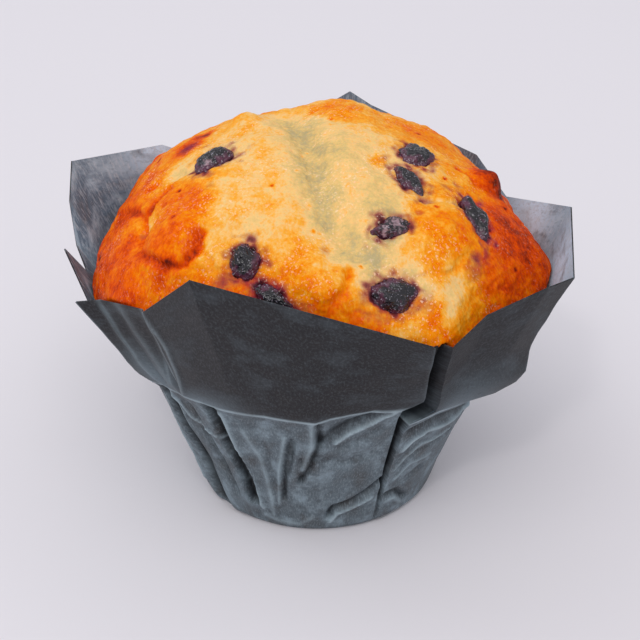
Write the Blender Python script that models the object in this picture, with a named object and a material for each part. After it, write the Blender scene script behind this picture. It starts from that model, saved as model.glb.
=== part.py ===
"""A berry muffin in the dark greaseproof tulip case that it was baked in.

The case is one square of paper pressed into a tapered cup, whose four corners stand up as petals.
The muffin fills the cup, rises over the crease and spreads into a cracked, lobed dome.
Eight berries have come to the surface of the crust.
The origin is the centre of the case's flat bottom, and +Z is up. Azimuths run from the
front, -Y, at 0 towards the right, +X, at 90 degrees. Sizes are in millimetres.
"""

import math
import random

import bmesh
import bpy
from mathutils import Matrix, Vector
from mathutils.bvhtree import BVHTree

MM = 0.001

# The paper case
PAPER = 0.45
BASE_RADIUS = 25.0
BASE_ROUNDING = 0.8
CREASE_RADIUS = 37.0
LIP_UNDERCUT = 0.8
LIP_HEIGHT = 2.6
WELD = 0.001

# Soft dents of the cup: their depth, then how many there are round it and how much they
# slant in radians over its height
CUP_CRUMPLE = 0.45
CUP_DENTS = ((9, 5), (15, -8))
COLUMN_SPACING = 3.4
CUP_RINGS = 7

# How much of a petal's outward belly it has at each share of its height
BELLY_PROFILE = ((0, 0), (0.12, 1), (0.25, 1), (0.42, 0.5), (0.62, 0.28), (0.8, 0.12), (1, 0))

# Height of the crease where the petals leave the cup, by azimuth
CREASE_HEIGHTS = (
    (-180, 33), (-100, 31), (-62, 31.5), (-45, 34), (-20, 35.6), (0, 36.2),
    (28, 35.4), (33, 32.5), (41, 32.6), (58, 29.9), (90, 29.5), (140, 33), (180, 33),
)

# Azimuth at the base of a fold whose azimuth at the crease is given: the folds slant towards
# the two front pleats
BASE_AZIMUTHS = (
    (-180, -180), (-100, -82), (-66, -41), (-34, -30), (-5, -7), (28, 29.5),
    (31.5, 30.5), (36.5, 31.5), (60, 54), (90, 88), (180, 180),
)

# The folds that shape the petals: azimuth at the crease, how far the fold lies inside the
# crease ring there, how far it bellies out above the crease, then azimuth, radius and height
# of its end on the rim
PETAL_FOLDS = (
    (-152, 1.0, 0.0, -152, 44.5, 53.0),
    (-132, 0.0, 0.6, -135, 48.0, 60.5),
    (-110, 0.0, 0.8, -107.5, 54.0, 65.6),
    (-99, 0.0, 0.4, -100, 52.3, 60.0),
    (-94, 0.3, 0.0, -97, 50.7, 51.0),
    (-88, 1.2, 0.0, -91, 47.8, 47.5),
    (-80, -0.4, 0.0, -81, 51.4, 58.3),
    (-73, 1.2, 0.3, -76, 47.7, 48.1),
    (-66, -0.5, 1.0, -70, 51.0, 51.5),
    (-59, 0.6, 1.0, -66, 47.0, 53.0),
    (-50, 0.5, 0.3, -46, 46.2, 58.8),
    (-46, 0.0, 0.0, -43.5, 47.8, 59.7),
    (-24, 0.0, 0.3, -23.7, 56.0, 76.6),
    (28, 0.0, 0.3, 28.4, 47.2, 56.3),
    (31.5, 2.8, 0.0, 30.3, 45.4, 54.6),
    (36.5, 0.0, 0.4, 32.4, 47.2, 54.8),
    (45, 0.0, 1.8, 41.0, 49.0, 60.5),
    (54, 0.0, 3.6, 53.5, 54.5, 63.8),
    (63, 0.0, 5.2, 62.1, 56.0, 62.3),
    (88, 0.0, 1.5, 91.4, 52.0, 62.8),
    (118, 0.8, 0.0, 121, 48.0, 52.6),
    (133, 0.0, 0.5, 131, 46.0, 60.0),
    (160, 0.0, 0.5, 159, 48.5, 62.0),
    (166, 0.8, 0.5, 165.5, 48.0, 64.2),
    (172, 0.0, 0.5, 171.5, 50.0, 66.1),
)

# Pleats pressed into the cup: azimuth at the crease, half width and depth at the crease
CUP_PLEATS = (
    (-62.5, 1.3, 2.2),
    (-35, 0.9, 1.4),
    (-122, 1.1, 1.8),
    (145, 1.1, 1.8),
)
PLEAT_TOP = 0.7
UNDERCUT_TOP = 0.5

# The muffin
CRUMB_GAP = 0.4
MUFFIN_COLUMNS = 80
DOME_CENTRE_HEIGHT = 47.0
DOME_RADIUS = 45.2
DOME_RISE = 33.2
DOME_RINGS = 22
FLANK_HEIGHTS = (0.85, 5.0, 11.0, 18.0, 25.0, 31.0, 36.0, 40.0, 44.0)
FLANK_TUCK = 5.0
ROOM_SIDES = (-1, -0.5, 0, 0.5, 1)
ROOM_LEVELS = (-2.0, 0.0, 2.0)
CRUST_RIPPLE = 0.35
RIPPLE_COUNTS = (7, 9, 12, 15, 19)

# Swellings and hollows of the crust: azimuth and angle from the top in degrees, angular
# width in degrees, and height in millimetres
LOBES = (
    (-44, 42, 20, 1.4),
    (-128, 30, 6, 1.6),
    (-137, 47, 6, -1.3),
    (-158, 44, 9, -1.6),
    (-50, 59, 10, 2.8),
    (-65, 64, 5, -2.2),
    (-64, 80, 14, 1.5),
    (-100, 73, 9, -1.4),
    (-80, 86, 8, 0.8),
    (172, 33, 13, 1.7),
    (-168, 24, 8, -1.0),
    (146, 42, 10, -0.6),
    (112, 45, 12, -1.0),
    (118, 64, 8, -1.2),
    (49, 55, 10, 2.8),
    (1, 60, 8, 3.0),
    (-28, 65, 12, 1.4),
    (33, 75, 12, 1.4),
    (73, 73, 14, 1.8),
    (92, 57, 4.5, 3.4),
    (102, 52, 11, -1.6),
    (96, 75, 9, -2.6),
    (77, 84, 11, 3.4),
)

# The split that runs from the back of the crown down its middle, as azimuth and angle from
# the top of its bends
SPLIT_BENDS = ((-153, 26), (-150, 12), (-8, 12), (2, 35), (9, 50))
SPLIT_WIDTH = 7.0
SPLIT_DEPTH = 2.6

# Berries: azimuth and angle from the top, length, width and thickness, turn of the length
# from level, and how far the middle lies under the crust
BERRIES = (
    (-74, 35, 8.6, 6.0, 5.0, -76, 0.9),
    (-23, 57, 7.6, 6.2, 5.6, -69, 1.4),
    (-12, 65, 8.6, 4.2, 4.6, -27, 1.2),
    (83, 34, 7.2, 7.6, 5.2, -81, 1.2),
    (57, 37, 8.6, 4.4, 4.4, 72, 1.0),
    (31, 48, 8.4, 4.6, 4.8, -3, 1.4),
    (64, 57, 10.6, 6.0, 6.0, 52, 1.5),
    (22, 66, 10.2, 7.2, 7.0, -11, 1.9),
)
BERRY_GAP = 0.35
BERRY_WRINKLE = 0.09
BROAD_WRINKLES = (3, 4)
SLANTED_WRINKLES = (4, 5)
BERRY_SEGMENTS = 12
BERRY_RINGS = 8

SEED = 8


def clear_scene():
    for obj in list(bpy.data.objects):
        bpy.data.objects.remove(obj, do_unlink=True)


def surface(name, colour, roughness):
    """A plain finish for one sub-part."""
    material = bpy.data.materials.new(name)
    material.use_nodes = True
    shader = material.node_tree.nodes["Principled BSDF"]
    shader.inputs["Base Color"].default_value = (*colour, 1.0)
    shader.inputs["Roughness"].default_value = roughness
    shader.inputs["Metallic"].default_value = 0.0
    return material


def new_object(name, mesh_builder, material):
    """Turns a bmesh into a named object and drops the bmesh."""
    mesh = bpy.data.meshes.new(name)
    mesh_builder.to_mesh(mesh)
    mesh_builder.free()
    mesh.materials.append(material)
    obj = bpy.data.objects.new(name, mesh)
    bpy.context.scene.collection.objects.link(obj)
    return obj


def between(table, x):
    """The value that straight lines between the table's pairs give at x."""
    for (x0, y0), (x1, y1) in zip(table, table[1:]):
        if x <= x1:
            return y0 + (y1 - y0) * (x - x0) / (x1 - x0)
    return table[-1][1]


def around(azimuth, radius, height):
    """A point given by its azimuth in degrees, radius and height."""
    angle = math.radians(azimuth)
    return Vector((radius * math.sin(angle), -radius * math.cos(angle), height))


def smooth_step(t):
    t = min(max(t, 0.0), 1.0)
    return t * t * (3 - 2 * t)


class PetalFold:
    """One line of the paper, from the base by way of the crease to the rim."""

    def __init__(self, azimuth, inset, belly, rim):
        self.azimuth = azimuth
        self.inset = inset
        self.belly = belly
        self.rim = rim

    def blend(self, other, share):
        azimuth = self.azimuth + (other.azimuth - self.azimuth) * share
        inset = self.inset + (other.inset - self.inset) * share
        belly = self.belly + (other.belly - self.belly) * share
        return PetalFold(azimuth, inset, belly, self.rim.lerp(other.rim, share))


def petal_folds():
    """The named folds in order round the case, closed by a copy of the first."""
    folds = []
    for azimuth, inset, belly, rim_azimuth, rim_radius, rim_height in PETAL_FOLDS:
        folds.append(PetalFold(azimuth, inset, belly, around(rim_azimuth, rim_radius, rim_height)))
    first = folds[0]
    folds.append(PetalFold(first.azimuth + 360, first.inset, first.belly, first.rim))
    return folds


def case_columns():
    """Every line of the sheet: the folds, the edges of the pleats and lines in between."""
    folds = petal_folds()
    stops = [fold.azimuth for fold in folds]
    for azimuth, half_width, depth in CUP_PLEATS:
        spread = math.degrees(half_width / CREASE_RADIUS)
        stops += [azimuth - spread, azimuth, azimuth + spread]
    stops = sorted(stops)
    widest = math.degrees(COLUMN_SPACING / CREASE_RADIUS)
    azimuths = []
    for start, end in zip(stops, stops[1:]):
        steps = max(1, math.ceil((end - start) / widest))
        azimuths += [start + (end - start) * step / steps for step in range(steps)]
    columns = []
    for azimuth in azimuths:
        for fold, following in zip(folds, folds[1:]):
            if fold.azimuth <= azimuth < following.azimuth:
                share = (azimuth - fold.azimuth) / (following.azimuth - fold.azimuth)
                columns.append(fold.blend(following, share))
    return columns


def wrapped(azimuth):
    """The same azimuth between -180 and 180 degrees."""
    return (azimuth + 180) % 360 - 180


def pleat_depth(azimuth, share):
    """How deep the pleats press into the cup at a line and a share of its height."""
    depth = 0.0
    for centre, half_width, deepest in CUP_PLEATS:
        spread = math.degrees(half_width / CREASE_RADIUS)
        nearness = max(0.0, 1 - abs(azimuth - centre) / spread)
        depth = max(depth, deepest * nearness * smooth_step(share / PLEAT_TOP))
    return depth


def crumple(azimuth, share):
    """Soft dents of the cup, none at the base and the crease."""
    wave = sum(math.sin(math.radians(azimuth * count) + slant * share) for count, slant in CUP_DENTS)
    return CUP_CRUMPLE * wave * math.sin(math.pi * share) / 2


def bottom_point(column):
    """The end of a column on the flat bottom."""
    base_azimuth = between(BASE_AZIMUTHS, wrapped(column.azimuth))
    return around(base_azimuth, BASE_RADIUS - BASE_ROUNDING, 0.0)


def cup_point(column, share):
    """A point on a column between the base, share 0, and the crease, share 1."""
    azimuth = wrapped(column.azimuth)
    base_azimuth = between(BASE_AZIMUTHS, azimuth)
    crease_height = between(CREASE_HEIGHTS, azimuth)
    height = crease_height * share
    radius = BASE_RADIUS + (CREASE_RADIUS - column.inset - BASE_RADIUS) * share
    below_lip = (crease_height - height) / LIP_HEIGHT
    radius -= LIP_UNDERCUT * min(below_lip, 1.0) * smooth_step(share / UNDERCUT_TOP)
    radius -= pleat_depth(azimuth, share)
    radius += crumple(azimuth, share)
    return around(base_azimuth + (azimuth - base_azimuth) * share, radius, height)


def petal_point(column, rise):
    """A point on a column between the crease, rise 0, and the rim, rise 1."""
    place = cup_point(column, 1.0).lerp(column.rim, rise)
    return place + around(column.azimuth, column.belly * between(BELLY_PROFILE, rise), 0.0)


def case_shares():
    """Shares of the cup's height at its rings, with one ring just under the lip."""
    lowest = BASE_ROUNDING / CREASE_RADIUS
    under_lip = 1 - LIP_HEIGHT / min(height for azimuth, height in CREASE_HEIGHTS)
    shares = [lowest]
    shares += [lowest + (under_lip - lowest) * ring / CUP_RINGS for ring in range(1, CUP_RINGS + 1)]
    return shares + [1.0]


def paper_case(material):
    """The folded sheet, bent round from a flat grid, closed by its flat bottom and given
    the paper's thickness inwards."""
    columns = case_columns()
    shares = case_shares()
    rows = [bottom_point]
    rows += [lambda column, share=share: cup_point(column, share) for share in shares]
    rows += [lambda column, rise=rise: petal_point(column, rise) for rise, share in BELLY_PROFILE[1:]]

    sheet = bmesh.new()
    bmesh.ops.create_grid(sheet, x_segments=len(columns), y_segments=len(rows) - 1, size=0.5)
    bottom_edge = []
    for vertex in sheet.verts:
        column_number = round((vertex.co.x + 0.5) * len(columns)) % len(columns)
        row_number = round((vertex.co.y + 0.5) * (len(rows) - 1))
        vertex.co = rows[row_number](columns[column_number]) * MM
        if row_number == 0:
            bottom_edge.append(vertex)
    bmesh.ops.remove_doubles(sheet, verts=sheet.verts, dist=WELD * MM)
    bottom_edge = {vertex for vertex in bottom_edge if vertex.is_valid}
    rim_of_base = [edge for edge in sheet.edges if edge.is_boundary and bottom_edge.issuperset(edge.verts)]
    bmesh.ops.contextual_create(sheet, geom=rim_of_base)
    bmesh.ops.recalc_face_normals(sheet, faces=sheet.faces)

    case = new_object("paper_case", sheet, material)
    thickness = case.modifiers.new("Paper", "SOLIDIFY")
    thickness.thickness = PAPER * MM
    thickness.offset = -1.0
    thickness.use_rim = True
    return case


def direction(azimuth, polar):
    """A unit vector from its azimuth and its angle from the top, in degrees."""
    angle = math.radians(polar)
    return around(azimuth, math.sin(angle), math.cos(angle))


def degrees_to_line(towards, start, end):
    """The angle between a direction and the arc from start to end."""
    span = end - start
    share = (towards - start).dot(span) / span.length_squared
    nearest = start + span * min(max(share, 0.0), 1.0)
    return math.degrees(towards.angle(nearest))


def ripples():
    """Directions, counts and phases of the fine swells of the crust."""
    draw = random.Random(SEED)
    waves = []
    for count in RIPPLE_COUNTS:
        axis = Vector((draw.uniform(-1, 1), draw.uniform(-1, 1), draw.uniform(-1, 1))).normalized()
        waves.append((axis * count, draw.uniform(0, math.tau)))
    return waves


def crust_relief(towards, waves):
    """How far the crust stands out from the plain dome in a direction."""
    relief = 0.0
    for azimuth, polar, width, height in LOBES:
        angle = math.degrees(towards.angle(direction(azimuth, polar)))
        relief += height * math.exp(-((angle / width) ** 2))
    bends = [direction(azimuth, polar) for azimuth, polar in SPLIT_BENDS]
    from_split = min(degrees_to_line(towards, a, b) for a, b in zip(bends, bends[1:]))
    relief -= SPLIT_DEPTH * math.exp(-((from_split / SPLIT_WIDTH) ** 2))
    for wave, phase in waves:
        relief += CRUST_RIPPLE * math.sin(towards.dot(wave) + phase) / 2
    return relief


def dome_distance(towards):
    """How far the plain dome's surface is from its centre in a direction."""
    across = math.hypot(towards.x, towards.y) / DOME_RADIUS
    return 1 / math.hypot(across, towards.z / DOME_RISE)


def dome_point(towards, waves):
    centre = Vector((0, 0, DOME_CENTRE_HEIGHT))
    return centre + towards * (dome_distance(towards) + crust_relief(towards, waves))


def room_in_case(case_tree, azimuth, height, azimuth_step):
    """The smallest distance from the axis to the paper round a place, or None above it."""
    nearest = None
    for side in ROOM_SIDES:
        for level in ROOM_LEVELS:
            outward = around(azimuth + side * azimuth_step, 1.0, 0.0)
            origin = Vector((0, 0, max(height + level, FLANK_HEIGHTS[0]))) * MM
            hit = case_tree.ray_cast(origin, outward)
            if hit[0] is not None and (nearest is None or hit[3] / MM < nearest):
                nearest = hit[3] / MM
    return nearest


def muffin_body(case, material):
    """The baked crumb and crust in one solid, pressed against the paper that holds it."""
    case_tree = BVHTree.FromObject(case, bpy.context.evaluated_depsgraph_get())
    waves = ripples()
    ring_count = DOME_RINGS + len(FLANK_HEIGHTS) + 1
    azimuth_step = 360 / MUFFIN_COLUMNS

    body = bmesh.new()
    bmesh.ops.create_uvsphere(body, u_segments=MUFFIN_COLUMNS, v_segments=ring_count, radius=1.0)
    for vertex in body.verts:
        ball_polar = math.degrees(vertex.co.angle(Vector((0, 0, 1))))
        ring = round(ball_polar / 180 * ring_count)
        azimuth = math.degrees(math.atan2(vertex.co.x, -vertex.co.y))
        if ring == 0:
            place = dome_point(Vector((0, 0, 1)), waves)
        elif ring == ring_count:
            place = Vector((0, 0, FLANK_HEIGHTS[0]))
        elif ring <= DOME_RINGS:
            place = dome_point(direction(azimuth, 90 * ring / DOME_RINGS), waves)
        else:
            height = FLANK_HEIGHTS[ring_count - 1 - ring]
            belly = math.hypot(*dome_point(direction(azimuth, 90), waves).xy)
            tuck = FLANK_TUCK * ((DOME_CENTRE_HEIGHT - height) / DOME_CENTRE_HEIGHT) ** 2
            place = around(azimuth, belly - tuck, height)
        radius = math.hypot(place.x, place.y)
        if radius > BASE_RADIUS / 2:
            room = room_in_case(case_tree, azimuth, place.z, azimuth_step)
            if room is not None and radius > room - CRUMB_GAP:
                place = around(azimuth, room - CRUMB_GAP, place.z)
        vertex.co = place * MM
    bmesh.ops.recalc_face_normals(body, faces=body.faces)
    for face in body.faces:
        face.smooth = True
    return new_object("muffin", body, material)


def berry_mesh(length, width, thickness, frame, draw, grown):
    """A shrunken, wrinkled berry, or the pocket that it lies in when grown."""
    berry = bmesh.new()
    bmesh.ops.create_uvsphere(berry, u_segments=BERRY_SEGMENTS, v_segments=BERRY_RINGS, radius=1.0)
    phases = [draw.uniform(0, math.tau) for wave in range(3)]
    (broad_x, broad_y), (slanted_x, slanted_y) = BROAD_WRINKLES, SLANTED_WRINKLES
    for vertex in berry.verts:
        spot = vertex.co.copy()
        wrinkle = math.sin(broad_x * spot.x + phases[0]) * math.sin(broad_y * spot.y + phases[1])
        wrinkle += math.sin(slanted_x * spot.x + slanted_y * spot.y + phases[2]) / 2
        swell = 1 + BERRY_WRINKLE * wrinkle
        vertex.co = Vector((
            spot.x * (length / 2 * swell + grown),
            spot.y * (width / 2 * swell + grown),
            spot.z * (thickness / 2 * swell + grown),
        )) * MM
    bmesh.ops.transform(berry, matrix=frame, verts=berry.verts)
    for face in berry.faces:
        face.smooth = True
    return berry


def berry_frame(azimuth, polar, turn, sink):
    """Where a berry lies: its length along the crust, its thickness along the crust's normal."""
    towards = direction(azimuth, polar)
    place = dome_point(towards, ripples())
    outward = Vector((
        towards.x / DOME_RADIUS**2,
        towards.y / DOME_RADIUS**2,
        towards.z / DOME_RISE**2,
    )).normalized()
    level = Vector((0, 0, 1)).cross(outward).normalized()
    uphill = outward.cross(level)
    along = level * math.cos(math.radians(turn)) + uphill * math.sin(math.radians(turn))
    across = outward.cross(along)
    turned = Matrix((along, across, outward)).transposed().to_4x4()
    return Matrix.Translation((place - outward * sink) * MM) @ turned


def berries(muffin, material):
    """The berries, each in a pocket cut for it in the crust."""
    for number, (azimuth, polar, length, width, thickness, turn, sink) in enumerate(BERRIES, 1):
        frame = berry_frame(azimuth, polar, turn, sink)
        berry = berry_mesh(length, width, thickness, frame, random.Random(SEED + number), 0.0)
        new_object(f"berry_{number}", berry, material)
        pocket = berry_mesh(length, width, thickness, frame, random.Random(SEED + number), BERRY_GAP)
        cutter = new_object(f"pocket_{number}", pocket, material)
        cutter.hide_render = True
        cutter.display_type = "WIRE"
        cut = muffin.modifiers.new(f"Pocket {number}", "BOOLEAN")
        cut.operation = "DIFFERENCE"
        cut.solver = "EXACT"
        cut.object = cutter


def main():
    clear_scene()
    greaseproof = surface("dark greaseproof paper", (0.055, 0.06, 0.066), 0.6)
    crust = surface("baked crust", (0.80, 0.36, 0.09), 0.5)
    berry_skin = surface("baked berry skin", (0.03, 0.015, 0.035), 0.3)
    case = paper_case(greaseproof)
    muffin = muffin_body(case, crust)
    berries(muffin, berry_skin)


main()
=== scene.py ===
"""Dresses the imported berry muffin: the folded greaseproof case, the baked crust and its berries.

Azimuths run from the front, -Y, at 0 towards the right, +X, at 90 degrees. Tables hold sizes in
millimetres and angles in degrees. Meshes are in metres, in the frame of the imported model.
"""

import math
import random
from typing import NamedTuple

import bmesh
import bpy
from bpy.props import FloatProperty, FloatVectorProperty, IntProperty, PointerProperty
from mathutils import Matrix, Vector, noise
from mathutils.bvhtree import BVHTree
from mathutils.geometry import intersect_point_line


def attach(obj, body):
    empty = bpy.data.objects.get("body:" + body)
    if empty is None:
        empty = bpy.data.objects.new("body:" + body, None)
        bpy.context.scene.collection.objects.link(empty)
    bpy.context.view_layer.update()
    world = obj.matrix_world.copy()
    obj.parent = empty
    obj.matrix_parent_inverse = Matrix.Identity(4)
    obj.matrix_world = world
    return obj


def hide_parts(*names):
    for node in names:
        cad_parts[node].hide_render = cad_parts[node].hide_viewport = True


bl_info = {
    "name": "Berry Muffin",
    "version": (1, 0, 0),
    "blender": (4, 5, 0),
    "location": "3D View > Sidebar > Muffin",
    "description": "Builds the paper case, the crust and the berries of one bakery muffin",
    "category": "Object",
}

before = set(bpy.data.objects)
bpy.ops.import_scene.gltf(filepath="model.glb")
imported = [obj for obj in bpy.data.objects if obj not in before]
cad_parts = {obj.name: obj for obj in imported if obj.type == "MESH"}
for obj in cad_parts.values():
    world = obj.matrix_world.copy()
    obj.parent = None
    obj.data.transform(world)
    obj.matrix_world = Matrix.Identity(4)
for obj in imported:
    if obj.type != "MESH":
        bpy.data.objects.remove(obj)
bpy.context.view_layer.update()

MM = 0.001
TOP = Vector((0, 0, 1))

# The sheet of paper, as in the solid case
BASE_RADIUS = 25.0
BASE_ROUNDING = 0.8
CREASE_RADIUS = 37.0
LIP_UNDERCUT = 0.8
LIP_HEIGHT = 2.6
BELLY_PROFILE = ((0, 0), (0.12, 1), (0.25, 1), (0.42, 0.5), (0.62, 0.28), (0.8, 0.12), (1, 0))

# Height of the crease where the petals leave the cup, by azimuth
CREASE_HEIGHTS = (
    (-180, 33), (-100, 31), (-66, 31.4), (-57, 32.9), (-47.5, 34.4), (-38.6, 35.3), (-29, 35.6),
    (-16, 36.4), (-6, 36), (-0.3, 35.6), (4, 36.7), (10, 37.4), (16.6, 37.6), (19.5, 37),
    (27, 36), (27.6, 34.5), (29.6, 32.2), (35, 32.3), (41, 32.4), (48.5, 31.4), (58, 29.9),
    (90, 29.5), (140, 33), (180, 33),
)

# Azimuth at the base of a fold whose azimuth at the crease is given
BASE_AZIMUTHS = (
    (-180, -180), (-100, -82), (-66, -41), (-34, -30), (-5, -7), (27, 27.1),
    (29.6, 29.3), (60, 54), (90, 88), (180, 180),
)

# How far the petals' feet are folded over to the side of the cup's top, by azimuth
FOOT_SHIFTS = ((-180, 0), (6, 0), (27, 7.4), (29.6, 9.6), (40, 3.5), (52, 0), (180, 0))
FOOT_RISE = 0.04
SLOT_AZIMUTH = 28.3

# The folds that shape the petals: azimuth at the crease, how far the fold lies inside the
# crease ring there, how far it bellies out above the crease, azimuth, radius and height of
# its end on the rim, and how far the coating has cracked along it, a pale line that also
# paints a highlight on the fold's edge
PETAL_FOLDS = (
    (-152, 1, 0, -152, 44.5, 53, 0.2), (-132, 0, 0.6, -135, 48, 60.5, 0),
    (-110, 0, 0.8, -107.5, 54, 65.6, 0), (-99, 0, 0.4, -100, 52.3, 60, 0.2),
    (-94, 0.3, 0, -97, 50.7, 51, 0.25), (-88, 1.2, 0, -91, 47.8, 47.5, 0.25),
    (-80, -0.4, 0, -81, 51.4, 58.3, 0.4), (-73, 1.2, 0.3, -76, 47.7, 48.1, 0.25),
    (-66, -0.5, 1, -70, 51, 51.5, 0.4), (-59, 0.6, 1, -66, 47, 53, 0.25),
    (-50, 0.5, 0.3, -46, 46.2, 58.8, 0.25), (-46, 0, 0, -43.5, 47.8, 59.7, 0.4),
    (-24, 0, 0.3, -23.7, 56, 76.6, 0), (27, 0, 0.3, 28.2, 47.2, 56.2, 0.12),
    (27.6, 4.6, 0, 28.8, 43.4, 54.4, 0), (28.3, 5.4, 0, 30.6, 42.8, 53.8, 0),
    (29, 4.6, 0, 32.3, 43.6, 54.2, 0), (29.6, 0, 0.4, 32.9, 47.2, 54.8, 0),
    (42, 0, 1.8, 41, 49, 60.5, 0), (54, 0, 3.6, 53.5, 54.5, 63.8, 0),
    (63, 0, 5.2, 62.1, 56, 62.3, 0.2), (88, 0, 1.5, 91.4, 52, 62.8, 0.2),
    (118, 0.8, 0, 121, 48, 52.6, 0.2), (133, 0, 0.5, 131, 46, 60, 0),
    (160, 0, 0.5, 159, 48.5, 62, 0.15), (166, 0.8, 0.5, 165.5, 48, 64.2, 0.2),
    (172, 0, 0.5, 171.5, 50, 66.1, 0.15),
)

# Creases pressed into the cup by the tin: half width, depth, which is below 0 for a raised
# line, how far the coating has cracked along it, a pale line that also paints a highlight on
# the edge, then azimuth and height of its points
CUP_CREASES = (
    (1.7, 2.8, 0, (
        (-60.5, 34), (-61, 28.7), (-58.4, 23.6), (-55.9, 19.5),
        (-53.5, 14), (-51.5, 8.3), (-48.5, 2),
    )),
    (0.6, -0.5, 0.7, (
        (-55.5, 34), (-55.5, 28.9), (-53.2, 23.3), (-50.8, 14.9), (-47.9, 8.6), (-44.4, 2.2),
    )),
    (0.9, -0.6, 0.6, ((-70, 29), (-66.5, 18), (-60, 6))),
    (1, 2, 0, ((-36.4, 35.5), (-35, 30.5), (-34, 24.3), (-31.8, 19.1), (-29.9, 13.9), (-28.4, 8))),
    (0.6, -0.5, 0.8, ((-31.8, 34), (-30.6, 25.8), (-29.2, 18.5), (-27, 12.2), (-24.3, 5.5))),
    (0.5, -0.5, 0.8, ((-57, 32), (-50.1, 27.2), (-43, 25.6), (-36.5, 24.6))),
    (0.8, 0.7, 0, ((-47, 31), (-44, 24), (-40, 14), (-37, 8))),
    (0.6, 1.1, 0, ((-8.9, 29), (-12.4, 18.5), (-14.1, 10.3))),
    (0.5, 0.8, 0, ((-7.5, 28.3), (-9, 23.6), (-10.7, 18.8))),
    (0.5, -0.4, 0.5, ((-10.6, 30), (-14.2, 19), (-16.4, 8))),
    (0.5, 0.6, 0, ((-5.6, 23.3), (-6.7, 16.2))),
    (0.6, 1.1, 0, ((0.4, 35.1), (1, 28.6), (-2.5, 20.7), (-6, 16.5))),
    (0.7, -0.4, 0.5, ((-1.5, 35), (-1.5, 28), (-5.4, 20))),
    (1.4, 1.3, 0, ((1.8, 29.1), (5.8, 31.8), (11.2, 34.1), (19.6, 36.5))),
    (0.6, -0.7, 0.9, ((6.5, 28.6), (11.1, 31.2), (19.6, 34.1), (25.5, 36))),
    (0.9, 0.5, 0, ((8, 27), (14, 28.6), (21, 31.5))),
    (1.3, 0.5, 0, ((1.2, 23.3), (10, 22.4), (20.8, 23.9))),
    (0.7, 1.2, 0, ((5.1, 5), (7, 7.6), (15.9, 9.2), (22, 11.1), (27.2, 14))),
    (0.6, -0.6, 0.8, ((6, 3.2), (8.8, 5.7), (15.9, 6.9), (24.1, 8.9))),
    (0.65, 1, 0, ((31, 8.6), (36.4, 8.6), (42.7, 5.3))),
    (0.6, -0.4, 0.5, ((31, 6.4), (36, 6.6), (41, 4))),
    (1.4, 1.3, 0, ((33.6, 28.6), (40, 29.4), (50, 28), (64, 25.5))),
    (0.6, -0.6, 0.9, ((32, 22.6), (35.5, 25.4), (41, 26.4), (49.6, 25.2), (67.2, 23.9))),
    (0.5, -0.4, 0.6, ((31.5, 16.5), (34.5, 20), (40, 22.2), (56, 21.8))),
    (0.7, 0.5, 0, ((33.5, 16.5), (38.7, 19.8), (47, 20.3), (60, 19.5))),
    (0.5, -0.35, 0.5, ((33.4, 13.2), (38.7, 16.7), (50, 16))),
    (0.9, 0.45, 0, ((40.2, 11.9), (48.2, 13.1))),
    (0.8, -0.35, 0.4, ((-24.5, 3.2), (-15.9, 2.2), (-7.8, 2.3), (-2.1, 4.6))),
    (0.7, -0.3, 0.4, ((-25.4, 30), (-21, 22), (-19.5, 10), (-20, 4))),
    (0.7, 0.4, 0, ((-20.8, 32), (-17.5, 24.4), (-17.6, 14.5))),
    (1.2, 1.9, 0, ((-122, 34), (-118, 20), (-110, 2))),
    (1.2, 1.8, 0, ((145, 34), (144.5, 15), (144, 2))),
    (0.6, -0.5, 0.7, ((-127, 33), (-122, 17), (-114, 4))),
    (0.6, -0.5, 0.7, ((141, 33), (141, 18), (140, 5))),
)
CUP_RADIUS = 31.0

# Soft folds of the petals, in the same way, with azimuth and rise from the crease to the rim
PETAL_CREASES = (
    (0.9, -0.4, 0.2, ((-59.5, 1), (-59.7, 0.66), (-59.5, 0.35), (-57, 0.05))),
    (0.8, 0.5, 0, ((-57.3, 1), (-56.8, 0.64), (-56, 0.38), (-53.8, 0.1))),
    (0.9, -0.4, 0.2, ((-55.2, 1), (-53.8, 0.68), (-53, 0.47), (-50.4, 0.1))),
    (0.8, 0.5, 0, ((-52.2, 1), (-50.8, 0.68), (-50, 0.47), (-47, 0.1))),
    (0.8, -0.4, 0.4, ((-46.7, 1), (-43.8, 0.7), (-43, 0.54), (-43.5, 0.25), (-45.5, 0.05))),
)

# Millimetres of a degree of azimuth and of the whole rise on a petal laid flat
PETAL_DEGREE = 0.75
PETAL_HEIGHT = 24.0

# Painted sheen on patches of the petals' outside: azimuth and rise of the middle, and half widths
OUTER_SHEEN_PATCHES = ((44, 0, 14, 0.30), (-56, 0.1, 9, 0.30), (-36, 0, 12, 0.10))

# Painted sheen on patches of the petals' inside, in the same way
INNER_SHEEN_PATCHES = ((74, 0.6, 14, 0.8), (104, 0.8, 14, 0.6), (-131, 1, 10, 0.3))

# The back has coarser columns beyond this azimuth, and so many creases drawn between two others
FRONT_HALF = 93
BACK_COARSENESS = 2
BACK_CREASES = 20
BACK_CREASE_RANGE = (66, 300)

# A crease this deep is a pleat with a flat bottom. The sides of a crease reach out this many of
# its half widths, and further out the paper gives way by this share of its depth
PLEAT_DEPTH = 1.5
GROOVE_REACH = 1.9
BESIDE_GROOVE = 2.2
BESIDE_SHARE = 0.12
# A crease is looked at only where one of its points is this near along the cup, in millimetres
CREASE_WINDOW = 12

# How cracked the coating is all along the crease, a pale line that also paints the highlight
# on the crease's edge, and half the width of such a line
CREASE_WEAR_AND_LIGHT = 0.95
CRACK_REACH = 0.5

# Crumpled paper: size of its flat facets, then sizes and heights of the soft swells
FACET_SIZE = 8
CUP_SWELLS = ((7, 1.0), (2.6, 0.25))
PETAL_SWELLS = ((11, 0.35), (4.5, 0.14))

# Rings of faces of the cup and of the petals. Where paper is folded tight, its thickness may
# stretch this much, and edges sharper than this angle stay sharp
CUP_RINGS = 64
PETAL_RINGS = 20
FOLDED_STRETCH = 1.6
SHARP_FOLD = math.radians(28)

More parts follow.
